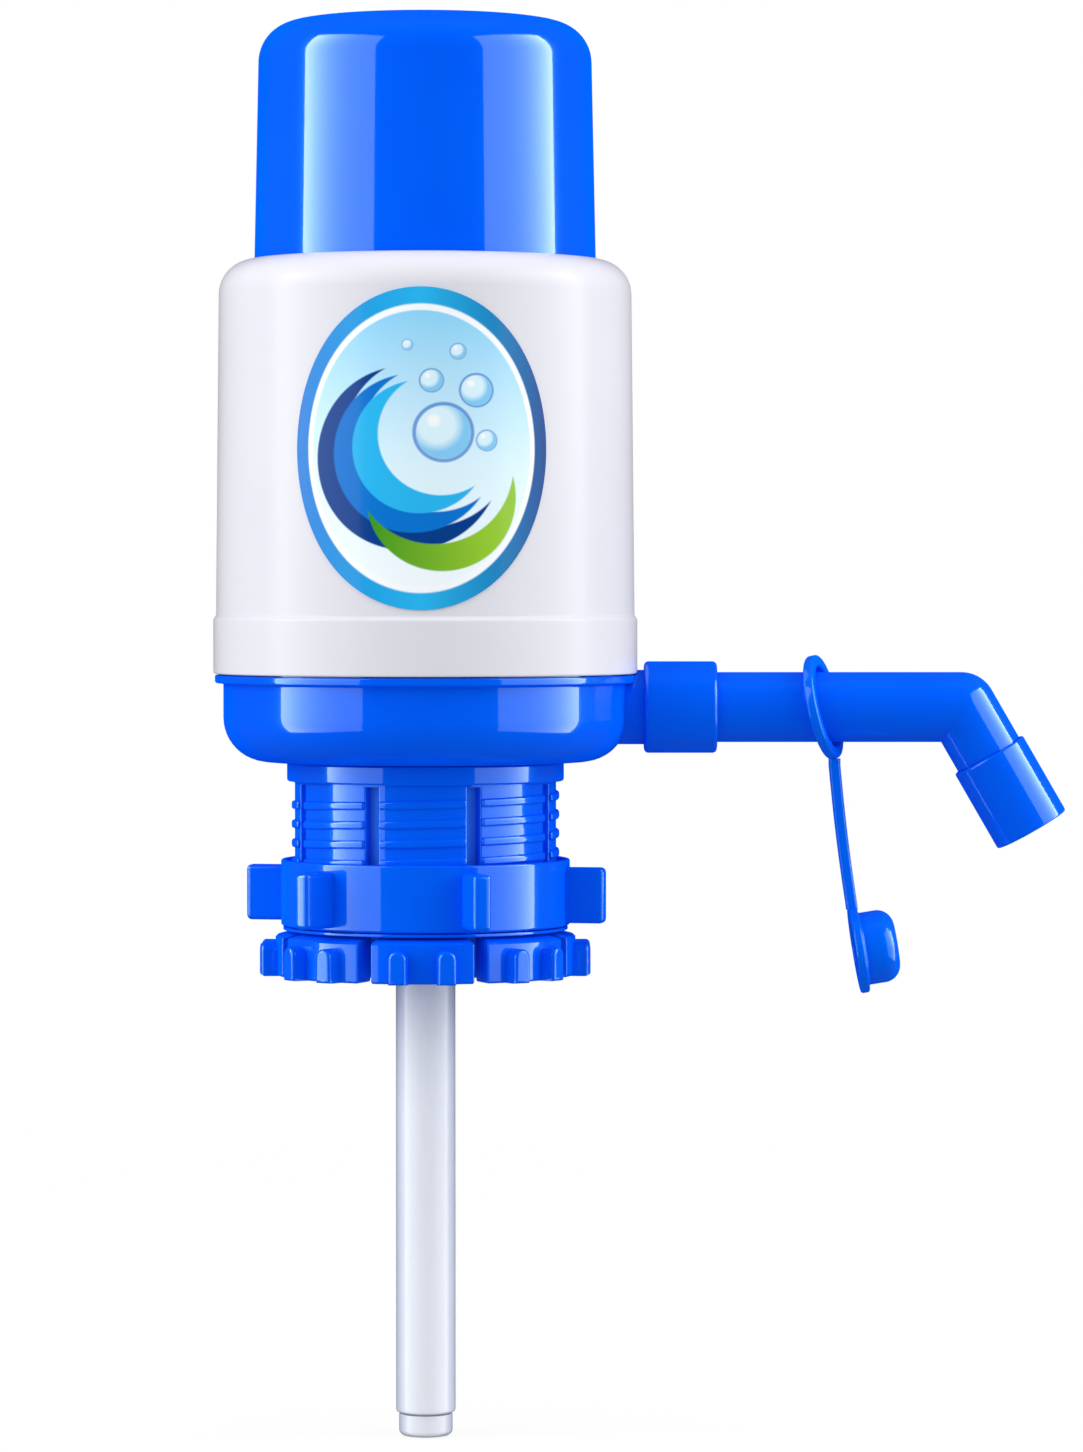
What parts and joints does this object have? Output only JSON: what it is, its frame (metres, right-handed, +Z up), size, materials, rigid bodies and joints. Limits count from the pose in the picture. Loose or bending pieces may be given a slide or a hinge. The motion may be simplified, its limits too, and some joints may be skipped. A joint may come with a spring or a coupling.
{
  "type": "water jug hand pump",
  "caption": "Hand pump for a water jug: pressed cap over a bellows body, slit neck clamp with screwed lug ring, dip tube, and a swivelling bent spout with a tethered plug.",
  "frame": {"origin": "on the pump's axis at the neck seat, the gasket's underside, where the jug's mouth comes", "axes": "+Z up along the pump's axis towards the pressed cap, +X along the spout, +Y to the back as the picture shows it"},
  "size_m": [0.2129, 0.1058, 0.3542],
  "materials": {
    "blue_plastic": "glossy saturated blue moulded plastic",
    "white_plastic": "glossy white moulded plastic",
    "label_print": null,
    "inner_plastic": "natural white moulded plastic, inside",
    "bellows_plastic": "soft translucent blow-moulded plastic",
    "silicone": "soft silicone",
    "blue_liner": "soft blue liner",
    "black_rubber": "black rubber seal",
    "clear_tube": "translucent bluish white tube",
    "blue_soft": "soft glossy blue moulded plastic"
  },
  "bodies": {
    "base": {"base_cup": "blue_plastic", "water_elbow": "blue_plastic", "shell": "white_plastic", "front_label": "label_print", "valve_plate": "inner_plastic", "outlet_valve_pin": "inner_plastic", "bellows": "bellows_plastic", "bellows_lower_band": "inner_plastic", "collet": "blue_plastic", "neck_sleeve": "blue_liner", "neck_gasket": "black_rubber", "dip_tube": "clear_tube", "tube_foot": "clear_tube", "tube_o_ring": "black_rubber"},
    "cap": {"press_cap": "blue_plastic", "head_plate": "inner_plastic", "bellows_upper_band": "inner_plastic", "inlet_valve_pin": "inner_plastic"},
    "inlet_disc": {"inlet_valve_disc": "silicone"},
    "outlet_disc": {"outlet_valve_disc": "silicone"},
    "slip": {"slip_ring": "blue_plastic"},
    "ring": {"clamp_ring": "blue_plastic"},
    "spout": {"spout_pipe": "blue_plastic", "spout_union": "blue_plastic", "nozzle_sleeve": "blue_plastic", "spout_o_ring": "black_rubber"},
    "loop": {"tether_loop": "blue_soft"},
    "strap": {"tether_strap": "blue_soft", "nozzle_plug": "blue_soft"}
  },
  "joints": [
    {"name": "press_stroke", "type": "slide", "parent": "base", "child": "cap", "axis": [0, 0, -1], "range_m": [0, 0.045], "stiffness_N_per_m": 250, "springref_m": -0.02, "deforming": ["bellows"]},
    {"name": "inlet_valve_lift", "type": "slide", "parent": "cap", "child": "inlet_disc", "axis": [0, 0, -1], "range_m": [0, 0.0012], "stiffness_N_per_m": 20, "springref_m": -0.002},
    {"name": "outlet_valve_lift", "type": "slide", "parent": "base", "child": "outlet_disc", "axis": [0, 0, -1], "range_m": [0, 0.0012], "stiffness_N_per_m": 20, "springref_m": -0.002},
    {"name": "ring_travel", "type": "slide", "parent": "base", "child": "slip", "axis": [0, 0, 1], "range_m": [0, 0.0178]},
    {"name": "ring_turn", "type": "hinge", "parent": "slip", "child": "ring", "pos_m": [0, 0, -0.036], "axis": [0, 0, 1], "range_deg": [0, 1350]},
    {"name": "spout_swivel", "type": "hinge", "parent": "base", "child": "spout", "pos_m": [0.0639, 0, 0.0184], "axis": [1, 0, 0], "continuous": true},
    {"name": "loop_turn", "type": "hinge", "parent": "spout", "child": "loop", "pos_m": [0.09945, 0, 0.0184], "axis": [1, 0, 0], "continuous": true},
    {"name": "strap_flex", "type": "hinge", "parent": "loop", "child": "strap", "pos_m": [0.10222, -0.00077, 0.00377], "axis": [0, -1, 0], "range_deg": [-30, 30], "stiffness_Nm_per_rad": 0.004}
  ],
  "couplings": [
    {"joint": "ring_turn", "follows": "ring_travel", "rad_per_m": 1322.8}
  ]
}
